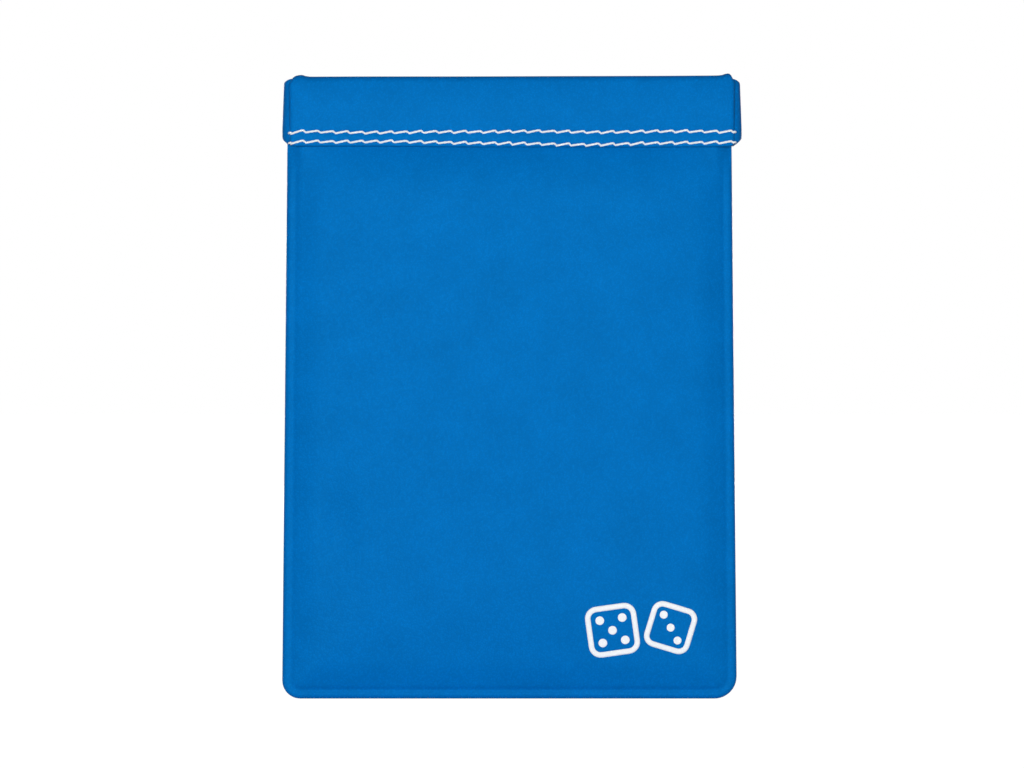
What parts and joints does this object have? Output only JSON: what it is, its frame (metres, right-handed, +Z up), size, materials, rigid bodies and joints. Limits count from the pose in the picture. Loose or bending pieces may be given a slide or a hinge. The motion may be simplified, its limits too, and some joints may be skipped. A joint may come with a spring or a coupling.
{
  "type": "squeeze-top pouch",
  "caption": "Flat leatherette pouch with rounded bottom corners and a topstitched cuff over a hinged spring frame that bows open when squeezed.",
  "frame": {"origin": "middle of the pouch's bottom edge", "axes": "+Z up from the bottom seam to the mouth, +X to the right seen from the front, -Y out of the front panel"},
  "size_m": [0.1052, 0.0086, 0.1435],
  "materials": {
    "panel_leatherette": "satin",
    "cuff_leatherette": "satin",
    "topstitch_thread": "matt",
    "seam_thread": "matt",
    "spring_steel": "brushed"
  },
  "bodies": {
    "bottom": {"bottom_edge": "panel_leatherette", "bottom_seam_line": "seam_thread"},
    "front_left_edge": {"front_left_edge": "panel_leatherette", "left_seam_line": "seam_thread"},
    "front_right_edge": {"front_right_edge": "panel_leatherette", "right_seam_line": "seam_thread"},
    "back_left_edge": {"back_left_edge": "panel_leatherette"},
    "back_right_edge": {"back_right_edge": "panel_leatherette"},
    "front_panel": {"front_panel": "panel_leatherette"},
    "back_panel": {"back_panel": "panel_leatherette"},
    "front_middle": {"front_cuff_center": "cuff_leatherette", "front_spring_center": "spring_steel", "front_topstitch_upper_center": "topstitch_thread", "front_topstitch_lower_center": "topstitch_thread"},
    "front_left": {"front_cuff_left": "cuff_leatherette", "front_spring_left": "spring_steel", "front_topstitch_upper_left": "topstitch_thread", "front_topstitch_lower_left": "topstitch_thread", "left_hinge_pin": "spring_steel", "left_sleeve_end": "cuff_leatherette"},
    "front_right": {"front_cuff_right": "cuff_leatherette", "front_spring_right": "spring_steel", "front_topstitch_upper_right": "topstitch_thread", "front_topstitch_lower_right": "topstitch_thread", "right_hinge_pin": "spring_steel", "right_sleeve_end": "cuff_leatherette"},
    "back_left": {"back_cuff_left": "cuff_leatherette", "back_spring_left": "spring_steel", "back_topstitch_upper_left": "topstitch_thread", "back_topstitch_lower_left": "topstitch_thread"},
    "back_middle": {"back_cuff_center": "cuff_leatherette", "back_spring_center": "spring_steel", "back_topstitch_upper_center": "topstitch_thread", "back_topstitch_lower_center": "topstitch_thread"},
    "back_right": {"back_cuff_right": "cuff_leatherette", "back_spring_right": "spring_steel", "back_topstitch_upper_right": "topstitch_thread", "back_topstitch_lower_right": "topstitch_thread"}
  },
  "joints": [
    {"name": "mouth_open", "type": "slide", "parent": "bottom", "child": "front_middle", "axis": [0, -1, 0], "range_m": [0, 0.022], "stiffness_N_per_m": 150, "springref_m": -0.005},
    {"name": "front_left_bend", "type": "hinge", "parent": "front_middle", "child": "front_left", "pos_m": [-0.01, -0.0016, 0.1367], "axis": [0, 0, -1], "range_deg": [0, 33.55]},
    {"name": "front_right_bend", "type": "hinge", "parent": "front_middle", "child": "front_right", "pos_m": [0.01, -0.0016, 0.1367], "axis": [0, 0, 1], "range_deg": [0, 33.55]},
    {"name": "left_end_hinge", "type": "hinge", "parent": "front_left", "child": "back_left", "pos_m": [-0.0503, 0, 0.1367], "axis": [0, 0, 1], "range_deg": [0, 67.1]},
    {"name": "back_left_bend", "type": "hinge", "parent": "back_left", "child": "back_middle", "pos_m": [-0.01, 0.0016, 0.1367], "axis": [0, 0, -1], "range_deg": [0, 33.55]},
    {"name": "back_right_bend", "type": "hinge", "parent": "back_middle", "child": "back_right", "pos_m": [0.01, 0.0016, 0.1367], "axis": [0, 0, -1], "range_deg": [0, 33.55]},
    {"name": "front_panel_lean", "type": "hinge", "parent": "bottom", "child": "front_panel", "pos_m": [0, -0.00135, 0.0004], "axis": [1, 0, 0], "range_deg": [0, 10.06]},
    {"name": "back_panel_lean", "type": "hinge", "parent": "bottom", "child": "back_panel", "pos_m": [0, 0.00135, 0.0004], "axis": [-1, 0, 0], "range_deg": [0, 10.06]},
    {"name": "front_left_edge_turn", "type": "hinge", "parent": "front_panel", "child": "front_left_edge", "pos_m": [-0.0475, -0.00135, 0.0004], "axis": [-0.9456, 0.3242, -0.0285], "range_deg": [0, 10.64]},
    {"name": "front_right_edge_turn", "type": "hinge", "parent": "front_panel", "child": "front_right_edge", "pos_m": [0.0475, -0.00135, 0.0004], "axis": [-0.9456, -0.3242, 0.0285], "range_deg": [0, 10.64]},
    {"name": "back_left_edge_turn", "type": "hinge", "parent": "back_panel", "child": "back_left_edge", "pos_m": [-0.0475, 0.00135, 0.0004], "axis": [0.9456, 0.3242, 0.0285], "range_deg": [0, 10.64]},
    {"name": "back_right_edge_turn", "type": "hinge", "parent": "back_panel", "child": "back_right_edge", "pos_m": [0.0475, 0.00135, 0.0004], "axis": [0.9456, -0.3242, -0.0285], "range_deg": [0, 10.64]}
  ],
  "couplings": [
    {"joint": "front_left_bend", "follows": "mouth_open", "rad_per_m": 26.608},
    {"joint": "front_right_bend", "follows": "mouth_open", "rad_per_m": 26.608},
    {"joint": "left_end_hinge", "follows": "mouth_open", "rad_per_m": 53.216},
    {"joint": "back_left_bend", "follows": "mouth_open", "rad_per_m": 26.608},
    {"joint": "back_right_bend", "follows": "mouth_open", "rad_per_m": 26.608},
    {"joint": "front_panel_lean", "follows": "mouth_open", "rad_per_m": 7.971},
    {"joint": "back_panel_lean", "follows": "mouth_open", "rad_per_m": 7.971},
    {"joint": "front_left_edge_turn", "follows": "mouth_open", "rad_per_m": 8.4273},
    {"joint": "front_right_edge_turn", "follows": "mouth_open", "rad_per_m": 8.4273},
    {"joint": "back_left_edge_turn", "follows": "mouth_open", "rad_per_m": 8.4273},
    {"joint": "back_right_edge_turn", "follows": "mouth_open", "rad_per_m": 8.4273}
  ]
}
